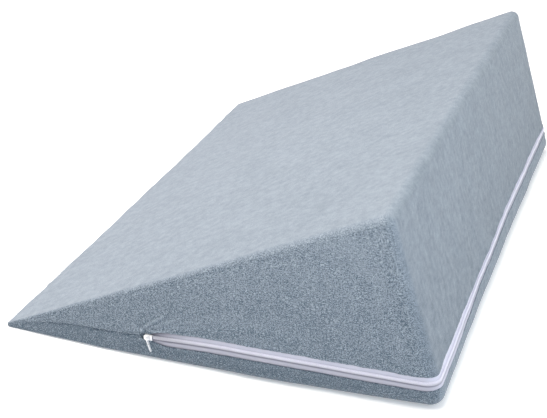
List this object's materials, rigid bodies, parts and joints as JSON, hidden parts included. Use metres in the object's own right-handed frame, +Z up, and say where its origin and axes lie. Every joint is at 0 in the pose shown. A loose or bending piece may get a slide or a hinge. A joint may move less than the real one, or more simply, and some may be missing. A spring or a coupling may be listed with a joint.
{
  "type": "wedge pillow",
  "caption": "Foam wedge pillow in a terry cover, with a sloping top, a tall back and a zip round its foot.",
  "frame": {"origin": "middle of the base, on the surface the pillow rests on", "axes": "+X from the thin edge to the tall back, +Y across the pillow, +Z up"},
  "size_m": [0.5928, 0.9285, 0.2521],
  "materials": {
    "terry": "looped terry, matt",
    "zip_tape": "woven tape, matt",
    "zip_coil": "nylon, satin",
    "slider": "enamelled, gloss"
  },
  "bodies": {
    "root": {"cushion": "terry", "zip_tape_upper": "zip_tape", "zip_tape_lower": "zip_tape", "coil_upper": "zip_coil", "coil_lower": "zip_coil", "slider_body": "slider", "pull_tab": "slider", "bottom_stop": "slider"}
  },
  "joints": []
}
